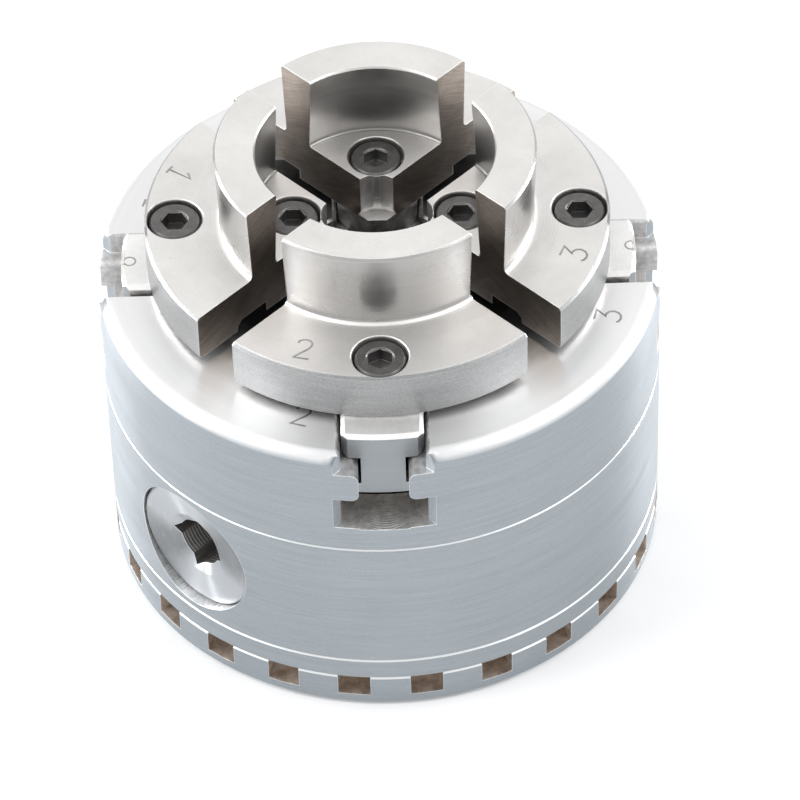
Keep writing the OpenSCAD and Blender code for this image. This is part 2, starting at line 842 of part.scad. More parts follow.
// Cross slot under the jaw that sits on the slide's key, with one sloping side
module jaw_keyway() {
    translate([0, body_d, 0])
        rotate([90, 0, 0])
            linear_extrude(height = 2 * body_d)
                polygon([
                    [key_u0 - 0.1, jaw_bottom_z - 1],
                    [key_u0 - 0.1, jaw_bottom_z + 2],
                    [key_u1 + 0.1, jaw_bottom_z + 2],
                    [key_u1 + 0.9, jaw_bottom_z + 1],
                    [key_u1 + 0.9, jaw_bottom_z - 1]
                ]);
}

module top_jaw(n) {
    tip_bore_u = wedge_u - 0.64;
    color(jaw_steel)
    at_jaw(n)
        difference() {
            intersection() {
                translate([jaw_open, 0, 0])
                    turned(jaw_section());
                quarter(wedge_u, jaw_bottom_z - 1, ring_z + 1);
            }
            jaw_keyway();
            translate([tip_bore_u, 0, 0]) {
                post(tip_bore_r, jaw_bottom_z - 1, flange_z + 1);
                translate([0, 0, jaw_bottom_z - eps])
                    cylinder(r1 = tip_bore_r + 0.9, r2 = tip_bore_r, h = 1.6);
            }
            for (u = [inner_screw_u, outer_screw_u])
                translate([u, 0, 0]) {
                    post(jaw_screw_d / 2 + 0.25, jaw_bottom_z - 1, flange_z + 1);
                    post(jaw_head_r + 0.45, jaw_seat_z, flange_z + 1);
                    translate([0, 0, flange_z - 0.25])
                        cylinder(r1 = jaw_head_r + 0.45, r2 = jaw_head_r + 0.71, h = 0.26, $fn = 48);
                }
        }
}

module top_jaw_1() { top_jaw(1); }
module top_jaw_2() { top_jaw(2); }
module top_jaw_3() { top_jaw(3); }
module top_jaw_4() { top_jaw(4); }

module jaw_screws(n) {
    color(black_oxide)
    at_jaw(n)
        for (u = [inner_screw_u, outer_screw_u])
            translate([u, 0, 0])
                cap_screw(jaw_screw_d, jaw_head_r, jaw_seat_z + 0.01, jaw_head_z, jaw_screw_tip_z);
}

module jaw_screws_1() { jaw_screws(1); }
module jaw_screws_2() { jaw_screws(2); }
module jaw_screws_3() { jaw_screws(3); }
module jaw_screws_4() { jaw_screws(4); }

front_body();
rear_housing();
back_plate();
index_ring();
spindle_insert();
insert_screws();
body_screws();
back_screws();
scroll_ring();
pinion();
pinion_screw();
jaw_slide_1();
jaw_slide_2();
jaw_slide_3();
jaw_slide_4();
top_jaw_1();
top_jaw_2();
top_jaw_3();
top_jaw_4();
jaw_screws_1();
jaw_screws_2();
jaw_screws_3();
jaw_screws_4();
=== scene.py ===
"""Looks of the wood lathe chuck: finishes, stamped numbers, spindle thread, camera and light."""
import math

import bmesh
import bpy
from mathutils import Matrix, Vector

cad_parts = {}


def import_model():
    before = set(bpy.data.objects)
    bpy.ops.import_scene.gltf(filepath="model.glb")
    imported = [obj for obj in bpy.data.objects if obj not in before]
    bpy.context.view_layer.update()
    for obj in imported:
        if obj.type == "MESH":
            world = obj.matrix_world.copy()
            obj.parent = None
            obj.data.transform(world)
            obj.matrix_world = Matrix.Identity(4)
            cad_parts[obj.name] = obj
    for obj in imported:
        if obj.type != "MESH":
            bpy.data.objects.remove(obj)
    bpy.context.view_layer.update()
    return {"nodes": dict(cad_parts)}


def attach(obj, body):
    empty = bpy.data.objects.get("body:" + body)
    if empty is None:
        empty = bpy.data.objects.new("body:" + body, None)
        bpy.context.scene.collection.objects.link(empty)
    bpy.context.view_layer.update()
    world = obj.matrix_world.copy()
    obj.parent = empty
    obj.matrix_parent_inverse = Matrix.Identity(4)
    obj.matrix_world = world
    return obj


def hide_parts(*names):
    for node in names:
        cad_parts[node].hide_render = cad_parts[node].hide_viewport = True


MM = 0.001

# Photograph: an 800 pixel frame, seen by a long lens from above the front of the chuck
FRAME_PX = 800
FOCAL_PX = 5447.7
CAMERA_DISTANCE = 945.8 * MM
CAMERA_AZIMUTH = 0.52
CAMERA_ELEVATION = 45.10
CAMERA_ROLL = -1.81
CAMERA_TARGET = Vector((0, 0, 33.6 * MM))
TARGET_PX = (383.42, 366.87)

# Sizes of the CAD model that finishes and marks are placed by, in millimetres
BODY_R = 48
FACE_Z = 60.1
SLOT_FLOOR_Z = 43.7
INDEX_RING_H = 6.5
NOTCH_R = 43
SLIDE_TOP_Z = 61.3
FLANGE_Z = 70.52
RING_Z = 85.52
JAW_AXIS_U = 2.6
TIP_BORE_U = 5.14
TIP_BORE_R = 4.4
TIP_WALL_U = 9.52
TIP_WALL_Z = 67.75
TIP_WALL_SIZE = (0.1, 1.1, 4.9)
SCREW_U = (14.2, 34.2)
HEAD_HOLE_R = 5.0
PINION_Z = 24.8
PINION_AZIMUTH = 225
PINION_FACE = 46.4

# Where one finish ends and the next begins, in millimetres
TOUCH = 0.05
RIM_ROUNDING = 2.6
REAR_EDGE = 0.9
BACK_EDGE_Z = 0.7
POCKET_R = 12.6
POCKET_DEEP = 36
POCKET_Z = 11
HEAD_R = 11.9
HEAD_DEEP = 30
SOCKET_R = 6.1
SLIDE_END_U = 42
RING_INNER_R = 21
RIM_R = 34

# Spindle thread cut in the insert's bore
THREAD_CREST_R = 11.15
THREAD_ROOT_R = 12.7
THREAD_PITCH = 3.175
THREAD_START_Z = 3.4
THREAD_END_Z = 26
THREAD_COLUMNS = 72

# Directions of jaws 1 to 4, in degrees from the right-hand jaw
JAW_AZIMUTH = {1: 180, 2: 270, 3: 0, 4: 90}

# Stamped numbers: strokes one unit high, and where each stands. A place is the distance
# outward along the jaw, the distance to its left and the tilt, in millimetres and degrees.
DIGIT_H = 4.4
DIGIT_STROKES = {
    1: [[(-0.22, 0.72), (0, 1), (0, 0)], [(-0.22, 0), (0.22, 0)]],
    2: [[(-0.28, 0.78), (-0.24, 0.9), (-0.12, 0.98), (0.02, 1), (0.17, 0.95), (0.26, 0.83),
         (0.25, 0.68), (0.14, 0.5), (-0.1, 0.25), (-0.3, 0.02), (0.3, 0.0)]],
    3: [[(-0.28, 1), (0.26, 1), (-0.02, 0.6), (0.1, 0.6), (0.24, 0.5), (0.3, 0.34),
         (0.25, 0.15), (0.12, 0.03), (-0.05, 0), (-0.2, 0.05), (-0.28, 0.14)]],
    4: [[(0.1, 1), (-0.3, 0.3), (0.32, 0.3)], [(0.12, 0.58), (0.12, 0)]],
}
JAW_DIGIT_PLACE = {
    1: (33.4, -11.0, 35),
    2: (32.0, -12.5, 13),
    3: (32.9, -11.2, 22),
    4: (32.5, -11.5, 20),
}
BODY_DIGIT_PLACE = {
    1: (38.0, -14.6, 16),
    2: (37.1, -13.2, 17),
    3: (38.4, -15.7, 14),
    4: (37.6, -14.2, 18),
}
RING_STAMP_PLACE = {1: (42.3, 0.45), 3: (42.97, 0.1)}
RING_STAMP_R = 1.0
RING_STAMP_SIDES = 28
MARK_REACH = 3.3

# Cutters of the marks: width and depth of their V grooves in millimetres, how far a groove stands
# above the surface as a share of its depth, and the sharpest mitre between two strokes
DIGIT_GROOVE = (0.40, 0.18)
RING_GROOVE = (0.30, 0.10)
GROOVE_LIFT = 0.25
MITRE_LIMIT = 0.55

# Meshes of the cut copies: what is welded, what counts as flat and what as a sharp edge
WELD_MM = 0.001
FLAT_DEGREES = 0.3
SHARP_DEGREES = 24

# Shading: samples of the Bevel nodes, and the turn that lays a highlight across turned lines
BEVEL_SAMPLES = 6
QUARTER_TURN = 0.25

# Floor, in metres, with the strength at which the camera and metal see it glow
FLOOR_R = 1.2
FLOOR_DROP = 0.0002
FLOOR_COLOUR = (0.82, 0.82, 0.825)
FLOOR_GLOW = 0.2

# Soft boxes: azimuth and elevation in degrees, width and height in metres, and power in watts
SOFT_BOX_DISTANCE = 0.85
SOFT_BOXES = {
    "left_high_box": (194, 54, 0.3, 0.4, 2.2),
    "right_high_box": (-14, 54, 0.42, 0.4, 1.9),
    "left_low_box": (190, 14, 0.3, 0.3, 1.5),
    "left_rim_box": (162, 5, 0.3, 0.3, 6.4),
    "right_rim_box": (19, 5, 0.3, 0.3, 6.4),
}

# The world's light: its level in front of the chuck, and its colour near the floor and overhead
WORLD_DIM = 0.3
WORLD_LOW_COLOUR = (0.88, 0.945, 1.0)
WORLD_HIGH_COLOUR = (1.0, 0.99, 0.975)


def along(azimuth):
    """Unit vectors outward and to the left of a direction in degrees."""
    a = math.radians(azimuth)
    return Vector((math.cos(a), math.sin(a), 0)), Vector((-math.sin(a), math.cos(a), 0))


# Nodes of a material

def new_material(name):
    """An empty node material with a Principled shader, and its shader."""
    material = bpy.data.materials.new(name)
    material.use_nodes = True
    tree = material.node_tree
    shader = tree.nodes["Principled BSDF"]
    return material, tree, shader


def add(tree, kind, **values):
    """A node with its properties and unlinked inputs set."""
    made = tree.nodes.new(kind)
    for key, value in values.items():
        if key in made.inputs:
            made.inputs[key].default_value = value
        else:
            setattr(made, key, value)
    return made


def feed(tree, socket, operand):
    """Puts a number or another node's output into a socket."""
    if isinstance(operand, (int, float)):
        socket.default_value = operand
    else:
        tree.links.new(operand, socket)


def maths(tree, operation, first, second=None):
    """The output of a Math node. Each operand is a socket or a number."""
    made = add(tree, "ShaderNodeMath", operation=operation)
    feed(tree, made.inputs[0], first)
    if second is not None:
        feed(tree, made.inputs[1], second)
    return made.outputs[0]


def plus(tree, first, second):
    """The sum of two sockets or numbers."""
    return maths(tree, "ADD", first, second)


def times(tree, first, second):
    """The product of two sockets or numbers."""
    return maths(tree, "MULTIPLY", first, second)


def toned(base, factor):
    """A colour made darker or lighter by a factor, up to white."""
    return tuple(min(1, factor * c) for c in base)


def vector(tree, x, y, z):
    """A vector socket from three sockets or numbers."""
    made = add(tree, "ShaderNodeCombineXYZ")
    for socket, operand in zip(made.inputs, (x, y, z)):
        feed(tree, socket, operand)
    return made.outputs[0]


def dot(tree, value, axis):
    """The part of a vector socket along a fixed axis."""
    made = add(tree, "ShaderNodeVectorMath", operation="DOT_PRODUCT")
    tree.links.new(value, made.inputs[0])
    made.inputs[1].default_value = axis
    return made.outputs["Value"]


def place(tree, centre=(0, 0, 0)):
    """A vector socket: the place on the object, in millimetres from centre."""
    coordinates = add(tree, "ShaderNodeTexCoord")
    moved = add(tree, "ShaderNodeVectorMath", operation="SUBTRACT")
    tree.links.new(coordinates.outputs["Object"], moved.inputs[0])
    moved.inputs[1].default_value = [c * MM for c in centre]
    scaled = add(tree, "ShaderNodeVectorMath", operation="SCALE", Scale=1 / MM)
    tree.links.new(moved.outputs[0], scaled.inputs[0])
    return scaled.outputs[0]


def noise(tree, where, scale, detail=2.0, roughness=0.5):
    """The value of a noise texture, from about 0 to 1."""
    made = add(tree, "ShaderNodeTexNoise", Scale=scale, Detail=detail, Roughness=roughness)
    tree.links.new(where, made.inputs["Vector"])
    return made.outputs["Fac"]


def ramp(tree, value, low, high, from_low=0.3, from_high=0.7):
    """value from its own range to low..high."""
    made = add(tree, "ShaderNodeMapRange")
    tree.links.new(value, made.inputs["Value"])
    made.inputs["From Min"].default_value = from_low
    made.inputs["From Max"].default_value = from_high
    made.inputs["To Min"].default_value = low
    made.inputs["To Max"].default_value = high
    return made.outputs["Result"]


def tint(tree, value, dark, light):
    """A colour between dark and light, each a colour or a socket."""
    made = add(tree, "ShaderNodeMix", data_type="RGBA")
    tree.links.new(value, made.inputs["Factor"])
    for socket, operand in ((made.inputs[6], dark), (made.inputs[7], light)):
        if isinstance(operand, tuple):
            socket.default_value = (*operand, 1)
        else:
            tree.links.new(operand, socket)
    return made.outputs[2]


def edges(tree, radius):
    """A mask that is 1 where the surface bends sharply within a radius in millimetres."""
    rounded = add(tree, "ShaderNodeBevel", samples=BEVEL_SAMPLES, Radius=radius * MM)
    true = add(tree, "ShaderNodeNewGeometry")
    made = add(tree, "ShaderNodeVectorMath", operation="DOT_PRODUCT")
    tree.links.new(rounded.outputs[0], made.inputs[0])
    tree.links.new(true.outputs["Normal"], made.inputs[1])
    return ramp(tree, made.outputs["Value"], 1, 0, 0.86, 0.985)


def bumped(tree, shader, height, distance, bevel):
    """Bump from a height socket, on edges that the Bevel node rounds a little. In millimetres."""
    rounded = add(tree, "ShaderNodeBevel", samples=BEVEL_SAMPLES, Radius=bevel * MM)
    bump = add(tree, "ShaderNodeBump", Strength=1.0, Distance=distance * MM)
    tree.links.new(height, bump.inputs["Height"])
    tree.links.new(rounded.outputs[0], bump.inputs["Normal"])
    tree.links.new(bump.outputs[0], shader.inputs["Normal"])


def seen_as_backdrop(tree):
    """1 for what the camera sees, and for what metal or glass shows of it, and 0 for light."""
    path = add(tree, "ShaderNodeLightPath")
    mirrored = maths(tree, "MAXIMUM", path.outputs["Is Glossy Ray"],
                     path.outputs["Is Transmission Ray"])
    return maths(tree, "MAXIMUM", path.outputs["Is Camera Ray"], mirrored)


def cylindrical(tree, centre, axis):
    """Sockets for the radius, the turn and the height about an axis, and the direction round it."""
    axis = Vector(axis).normalized()
    first = Vector((1, 0, 0)) if abs(axis.z) > 0.9 else Vector((0, 0, 1)).cross(axis).normalized()
    second = axis.cross(first)
    where = place(tree, centre)
    a = dot(tree, where, first)
    b = dot(tree, where, second)
    height = dot(tree, where, axis)
    radius = maths(tree, "SQRT", plus(tree, times(tree, a, a), times(tree, b, b)))
    turn = maths(tree, "ARCTAN2", b, a)
    crossed = add(tree, "ShaderNodeVectorMath", operation="CROSS_PRODUCT")
    crossed.inputs[0].default_value = axis
    tree.links.new(where, crossed.inputs[1])
    turned = add(tree, "ShaderNodeVectorTransform", vector_type="VECTOR", convert_from="OBJECT",
                 convert_to="WORLD")
    tree.links.new(crossed.outputs[0], turned.inputs[0])
    return radius, turn, height, turned.outputs[0]


# Materials

def turned_steel(name, base, rough, centre=(0, 0, 0), axis=(0, 0, 1), *, lines=0.10, line_mm=0.12,
                 depth=0.002, anisotropic=0.6, cloud=0.03, edge_radius=0.12, edge_wear_and_highlight=1.15,
                 bevel=0.12, crown_highlight=None, painted_shade_foot=None, grit=0.0, painted_fan_turn=None, painted_shade_radii=None):
    """Steel with fine lines round an axis, as a lathe leaves it.

    lines is how much the lines change the colour, line_mm their usual width and depth their height.
    cloud is how uneven the gloss is. Edges within edge_radius are lighter by
    edge_wear_and_highlight, partly as wear and partly as a painted highlight, and bevel is how far
    the shading rounds them. crown is the colour of what curves to face up, a painted highlight,
    foot a height below which the steel is painted darker as painted shade, and grit the strength of
    an even grain over the lines. dulled is the turn, in degrees, of two opposite sectors painted
    darker than the rest as a painted reflection, grimy two radii across which painted shade, darker
    towards the centre, fades out.
    """
    material, tree, shader = new_material(name)
    radius, turn, height, round_axis = cylindrical(tree, centre, axis)
    across = vector(tree, times(tree, radius, 1 / line_mm), times(tree, turn, 5),
                    times(tree, height, 1 / line_mm))
    fine = noise(tree, across, 0.9, 3.0, 0.6)
    wide = vector(tree, times(tree, radius, 0.9), times(tree, turn, 0.7), times(tree, height, 0.9))
    broad = noise(tree, wide, 0.8, 3.0, 0.55)
    clouds = noise(tree, place(tree), 0.09, 4.0, 0.6)
    specks = noise(tree, place(tree), 1.6, 2.0, 0.5)
    grain = noise(tree, place(tree), 3.0, 3.0, 0.7)
    shader.inputs["Metallic"].default_value = 1
    shader.inputs["Anisotropic"].default_value = anisotropic
    shader.inputs["Anisotropic Rotation"].default_value = QUARTER_TURN
    tree.links.new(round_axis, shader.inputs["Tangent"])
    darker = toned(base, 1 - lines)
    # Edges are painted lighter: partly wear, partly a painted highlight.
    lighter = toned(base, edge_wear_and_highlight)
    stripes = plus(tree, ramp(tree, fine, 0, 0.6), ramp(tree, broad, 0, 0.4))
    stripes = plus(tree, stripes, ramp(tree, grain, -grit, grit))
    plain = tint(tree, stripes, darker, base)
    # Painted highlight: what curves to face up is given a lighter colour.
    if crown_highlight is not None:
        true = add(tree, "ShaderNodeNewGeometry")
        facing_up = dot(tree, true.outputs["Normal"], (0, 0, 1))
        plain = tint(tree, ramp(tree, facing_up, 0, 1, 0.12, 0.6), plain, crown_highlight)
    # Painted reflection: two opposite sectors round the axis are painted darker.
    if painted_fan_turn is not None:
        off = maths(tree, "SUBTRACT", turn, math.radians(painted_fan_turn))
        swing = maths(tree, "COSINE", times(tree, off, 2))
        swing = plus(tree, swing, ramp(tree, clouds, -0.25, 0.25))
        sectors = tint(tree, ramp(tree, swing, 0, 1, 0.1, 0.95), base, toned(base, 0.52))
        plain = tint(tree, ramp(tree, stripes, 0.3, 0, 0, 0.6), sectors, darker)
    # Painted shade: darker towards the centre, fading out between the two radii.
    if painted_shade_radii is not None:
        reach = plus(tree, radius, ramp(tree, clouds, -3, 3))
        plain = tint(tree, ramp(tree, reach, 1, 0, *painted_shade_radii), plain, toned(base, 0.2))
    # Painted shade: darker towards the bottom, below the given height.
    if painted_shade_foot is not None:
        level = dot(tree, place(tree), (0, 0, 1))
        plain = tint(tree, ramp(tree, level, 1, 0, painted_shade_foot - 7, painted_shade_foot), plain, toned(base, 0.45))
    spotted = tint(tree, ramp(tree, specks, 0, 0.3, 0.74, 0.8), plain, toned(base, 0.55))
    # Edge colour: partly wear, partly a painted highlight.
    colour = tint(tree, edges(tree, edge_radius), spotted, lighter)
    tree.links.new(colour, shader.inputs["Base Color"])
    roughness = plus(tree, ramp(tree, broad, rough - 0.02, rough + 0.02),
                     ramp(tree, clouds, -cloud, cloud))
    tree.links.new(roughness, shader.inputs["Roughness"])
    bumped(tree, shader, plus(tree, fine, times(tree, grain, 3 * grit)), depth, bevel)
    return material


def blasted_steel(name, base, rough, depth=0.006, lines_between=None, centre=(0, 0, 0)):
    """Bead-blasted steel: an even fine grain with faint clouds, and a bright edge that is partly
    worn and partly a painted highlight.

    lines_between is two radii about centre, between which it shows patches of turning lines.
    """
    material, tree, shader = new_material(name)
    where = place(tree)
    grain = noise(tree, where, 4.2, 2.0, 0.6)
    cloud = noise(tree, where, 0.11, 4.0, 0.6)
    specks = noise(tree, where, 1.3, 2.0, 0.5)
    shader.inputs["Metallic"].default_value = 1
    darker = toned(base, 0.8)
    coat = plus(tree, ramp(tree, cloud, 0, 0.6), ramp(tree, grain, 0, 0.4))
    colour = tint(tree, coat, darker, base)
    colour = tint(tree, ramp(tree, specks, 0, 0.35, 0.76, 0.8), colour, toned(base, 0.5))
    height = grain
    if lines_between is not None:
        lines_from, lines_to = lines_between
        radius = cylindrical(tree, centre, (0, 0, 1))[0]
        rings = maths(tree, "SINE", times(tree, radius, math.tau / 0.5))
        inside = times(tree, ramp(tree, radius, 0, 1, lines_from, lines_from + 0.3),
                       ramp(tree, radius, 1, 0, lines_to - 0.6, lines_to))
        patch = ramp(tree, noise(tree, where, 0.16, 2.0), 0.25, 1, 0.4, 0.6)
        inside = times(tree, inside, patch)
        shade = times(tree, inside, ramp(tree, rings, 0, 0.5, -1, 1))
        colour = tint(tree, shade, colour, toned(base, 0.72))
        height = plus(tree, grain, times(tree, inside, rings))
    # Edges lighter: partly wear, partly a painted highlight.
    edge = edges(tree, 0.3)
    tree.links.new(tint(tree, edge, colour, toned(base, 1.18)), shader.inputs["Base Color"])
    matt = ramp(tree, grain, rough - 0.05, rough + 0.05)
    smooth = times(tree, edge, -0.12)
    tree.links.new(plus(tree, matt, smooth), shader.inputs["Roughness"])
    bumped(tree, shader, height, depth, 0.08)
    return material


def sawn_steel(name, base, rough, azimuth):
    """Dark milled faces of the jaw in one direction, with slanting scratches and bright edges."""
    material, tree, shader = new_material(name)
    outward, left = along(azimuth)
    where = place(tree)
    u = dot(tree, where, outward)
    v = maths(tree, "ABSOLUTE", dot(tree, where, left))
    level = dot(tree, where, (0, 0, 1))
    run = plus(tree, u, v)
    bend = times(tree, noise(tree, where, 0.06, 2.0), 9)
    slant = plus(tree, level, times(tree, run, 0.32))
    slant = plus(tree, slant, bend)
    along_scratch = vector(tree, times(tree, run, 0.07), 0, times(tree, slant, 3.1))
    scratch = noise(tree, along_scratch, 1.0, 5.0, 0.7)
    crossing = maths(tree, "SUBTRACT", level, times(tree, run, 0.75))
    along_second = vector(tree, times(tree, run, 0.12), 3, times(tree, crossing, 2.2))
    second = noise(tree, along_second, 1.0, 4.0, 0.65)
    cloud = noise(tree, where, 0.16, 3.0, 0.6)
    shader.inputs["Metallic"].default_value = 1
    mixed = plus(tree, ramp(tree, scratch, 0, 0.55, 0.42, 0.64), ramp(tree, cloud, -0.1, 0.35))
    mixed = plus(tree, mixed, ramp(tree, second, 0, 0.35, 0.52, 0.75))
    # Painted shade: the faces are darker low down on the jaw.
    unshaded = tint(tree, mixed, base, toned(base, 1.95))
    painted_shade_low = tint(tree, mixed, toned(base, 0.9), toned(base, 1.9))
    above = maths(tree, "SUBTRACT", level, times(tree, run, 0.1))
    colour = tint(tree, ramp(tree, above, 0, 1, 61, 74), painted_shade_low, unshaded)
    # Edges lighter: partly wear, partly a painted highlight.
    colour = tint(tree, edges(tree, 0.3), colour, (0.78, 0.77, 0.75))
    tree.links.new(colour, shader.inputs["Base Color"])
    tree.links.new(ramp(tree, scratch, rough - 0.08, rough + 0.08), shader.inputs["Roughness"])
    bumped(tree, shader, plus(tree, scratch, second), 0.035, 0.25)
    return material


def milled_steel(name, base, rough, depth=0.01, swirl=False):
    """Milled slot faces: mottled satin steel, or the overlapping arcs of an end mill's bottom."""
    material, tree, shader = new_material(name)
    where = place(tree)
    split = add(tree, "ShaderNodeSeparateXYZ")
    tree.links.new(where, split.inputs[0])
    x, y = split.outputs[0], split.outputs[1]
    mottle = noise(tree, where, 0.9, 4.0, 0.65)
    grain = noise(tree, where, 4.0, 2.0, 0.6)
    height = plus(tree, mottle, times(tree, grain, 0.5))
    if swirl:
        # The mill feeds outward, so each pass leaves an arc of its own radius across the slot
        along_x = maths(tree, "LESS_THAN", maths(tree, "ABSOLUTE", y), maths(tree, "ABSOLUTE", x))
        far = maths(tree, "MAXIMUM", maths(tree, "ABSOLUTE", x), maths(tree, "ABSOLUTE", y))
        side = maths(tree, "MINIMUM", maths(tree, "ABSOLUTE", x), maths(tree, "ABSOLUTE", y))
        sag = times(tree, times(tree, side, side), 0.12)
        step = plus(tree, plus(tree, far, sag), times(tree, along_x, 3.1))
        uneven = plus(tree, step, times(tree, mottle, 0.5))
        arcs = maths(tree, "SINE", times(tree, uneven, math.tau / 0.55))
        height = plus(tree, height, times(tree, arcs, 0.45))
    shader.inputs["Metallic"].default_value = 1
    colour = tint(tree, ramp(tree, mottle, 0, 1, 0.35, 0.65), toned(base, 0.68), base)
    if swirl:
        colour = tint(tree, ramp(tree, arcs, 0, 0.5, 0.2, 1), colour, toned(base, 0.6))
    # Edges lighter: partly wear, partly a painted highlight.
    colour = tint(tree, edges(tree, 0.25), colour, toned(base, 1.3))
    tree.links.new(colour, shader.inputs["Base Color"])
    tree.links.new(ramp(tree, mottle, rough - 0.08, rough + 0.08), shader.inputs["Roughness"])
    bumped(tree, shader, height, depth, 0.2)
    return material


def oiled_steel(name, base, light, rough):
    """Unpolished inner faces: dark steel with brown oil stains."""
    material, tree, shader = new_material(name)
    where = place(tree)
    stain = noise(tree, where, 0.35, 4.0, 0.65)
    grain = noise(tree, where, 2.4, 3.0, 0.6)
    shader.inputs["Metallic"].default_value = 1
    colour = tint(tree, ramp(tree, stain, 0, 1, 0.35, 0.7), base, light)
    tree.links.new(colour, shader.inputs["Base Color"])
    tree.links.new(ramp(tree, grain, rough - 0.1, rough + 0.1), shader.inputs["Roughness"])
    bumped(tree, shader, grain, 0.02, 0.15)
    return material


def socket_steel(name, base, rough):
    """The key socket: planed lines along its depth and chatter marks round the pilot hole."""
    material, tree, shader = new_material(name)
    outward, left = along(PINION_AZIMUTH)
    where = place(tree, (0, 0, PINION_Z))
    deep = dot(tree, where, outward)
    side = dot(tree, where, left)
    up = dot(tree, where, (0, 0, 1))
    stroke = vector(tree, times(tree, side, 5), times(tree, up, 5), times(tree, deep, 0.25))
    planed = noise(tree, stroke, 1.0, 3.0, 0.6)
    uneven = plus(tree, deep, times(tree, planed, 0.35))
    chatter = maths(tree, "SINE", times(tree, uneven, math.tau / 0.62))
    radius = maths(tree, "SQRT", plus(tree, times(tree, side, side), times(tree, up, up)))
    on_pilot = ramp(tree, radius, 1, 0, 4.43, 4.55)
    shader.inputs["Metallic"].default_value = 1
    marks = times(tree, on_pilot, ramp(tree, chatter, 0, 1, 0, 1))
    value = maths(tree, "MAXIMUM", ramp(tree, planed, 0, 0.35, 0.45, 0.7), marks)
    colour = tint(tree, value, base, toned(base, 3.2))
    # Edges lighter: partly wear, partly a painted highlight.
    colour = tint(tree, edges(tree, 0.2), colour, (0.7, 0.71, 0.72))
    tree.links.new(colour, shader.inputs["Base Color"])
    tree.links.new(ramp(tree, planed, rough - 0.06, rough + 0.06), shader.inputs["Roughness"])
    bumped(tree, shader, plus(tree, planed, times(tree, marks, 0.8)), 0.05, 0.15)
    return material


def black_oxide(name):
    """Blackened screws: nearly black, softly shining, with fine bright specks and edges that are
    partly worn and partly a painted highlight.
    """
    material, tree, shader = new_material(name)
    where = place(tree)
    speck = noise(tree, where, 3.2, 2.0, 0.7)
    cloud = noise(tree, where, 0.5, 3.0, 0.6)
    shader.inputs["Metallic"].default_value = 0.8
    shader.inputs["Specular IOR Level"].default_value = 0.5
    colour = tint(tree, ramp(tree, cloud, 0, 1), (0.115, 0.112, 0.112), (0.17, 0.166, 0.163))
    colour = tint(tree, ramp(tree, speck, 0, 1, 0.64, 0.76), colour, (0.32, 0.31, 0.30))
    # Edges lighter: partly wear, partly a painted highlight.
    colour = tint(tree, edges(tree, 0.12), colour, (0.34, 0.33, 0.32))
    tree.links.new(colour, shader.inputs["Base Color"])
    tree.links.new(ramp(tree, speck, 0.30, 0.42), shader.inputs["Roughness"])
    bumped(tree, shader, speck, 0.008, 0.1)
    return material


# Stamped marks and the spindle thread

def groove(shape, points, width, depth, closed=False):
    """Adds a V-section cutter along points of a level line to a bmesh. Metres."""
    lift = GROOVE_LIFT * depth
    half = width / 2 * (depth + lift) / depth
    count = len(points)
    rows = []
    for i, point in enumerate(points):
        before = points[i - 1] if closed or i > 0 else None
        after = points[(i + 1) % count] if closed or i < count - 1 else None
        first = (point - before).normalized() if before is not None else None
        last = (after - point).normalized() if after is not None else None
        first = first or last
        last = last or first
        ahead = (first + last).normalized()
        reach = 1 / max(MITRE_LIMIT, ahead.dot(first))
        side = Vector((-ahead.y, ahead.x, 0)) * half * reach
        inset = Vector((0, 0, 0))
        if before is None:
            inset = ahead * 0.5 * width
        if after is None:
            inset = -ahead * 0.5 * width
        low = point + inset - Vector((0, 0, depth))
        rows.append([shape.verts.new(point + side + Vector((0, 0, lift))),
                     shape.verts.new(low),
                     shape.verts.new(point - side + Vector((0, 0, lift)))])
    steps = range(count if closed else count - 1)
    for i in steps:
        here, there = rows[i], rows[(i + 1) % count]
        for k in range(3):
            m = (k + 1) % 3
            shape.faces.new((here[k], here[m], there[m], there[k]))
    if not closed:
        shape.faces.new(rows[0])
        shape.faces.new(list(reversed(rows[-1])))


def mesh_object(name, shape):
    """A Blender object from a bmesh, with its faces turned outward."""
    bmesh.ops.recalc_face_normals(shape, faces=shape.faces)
    mesh = bpy.data.meshes.new(name)
    shape.to_mesh(mesh)
    shape.free()
    made = bpy.data.objects.new(name, mesh)
    bpy.context.scene.collection.objects.link(made)
    return made


def mark_centre(azimuth, where, level):
    """The centre of a stamped mark, in millimetres."""
    outward, left = along(azimuth)
    return outward * where[0] + left * where[1] + Vector((0, 0, level))


def digit_cutters(n, azimuth, where, level):
    """The cutters of one stamped number, one object for each stroke."""
    outward, left = along(azimuth)
    t = math.radians(where[2])
    right = left * math.cos(t) + outward * math.sin(t)
    up = left * math.sin(t) - outward * math.cos(t)
    centre = mark_centre(azimuth, where, level) * MM
    made = []
    for stroke in DIGIT_STROKES[n]:
        shape = bmesh.new()
        points = [centre + (right * x + up * (y - 0.5)) * DIGIT_H * MM for x, y in stroke]
        groove(shape, points, DIGIT_GROOVE[0] * MM, DIGIT_GROOVE[1] * MM)
        made.append(mesh_object("cutter", shape))
    return made


def ring_cutter(azimuth, where, level):
    """The cutter of a small stamped ring."""
    centre = mark_centre(azimuth, where, level) * MM
    points = [centre + Vector((math.cos(a), math.sin(a), 0)) * RING_STAMP_R * MM
              for a in (i * math.tau / RING_STAMP_SIDES for i in range(RING_STAMP_SIDES))]
    shape = bmesh.new()
    groove(shape, points, RING_GROOVE[0] * MM, RING_GROOVE[1] * MM, closed=True)
    return mesh_object("cutter", shape)


def tip_wall(n):
    """The thin wall between a jaw's inner screw hole and the bore at its tip."""
    outward, left = along(JAW_AZIMUTH[n])
    shape = bmesh.new()
    bmesh.ops.create_cube(shape, size=1)
    for vert in shape.verts:
        u, s, z = (c * length for c, length in zip(vert.co, TIP_WALL_SIZE))
        vert.co = (outward * (TIP_WALL_U + u) + left * s + Vector((0, 0, TIP_WALL_Z + z))) * MM
    return mesh_object("tip_wall_%d" % n, shape)


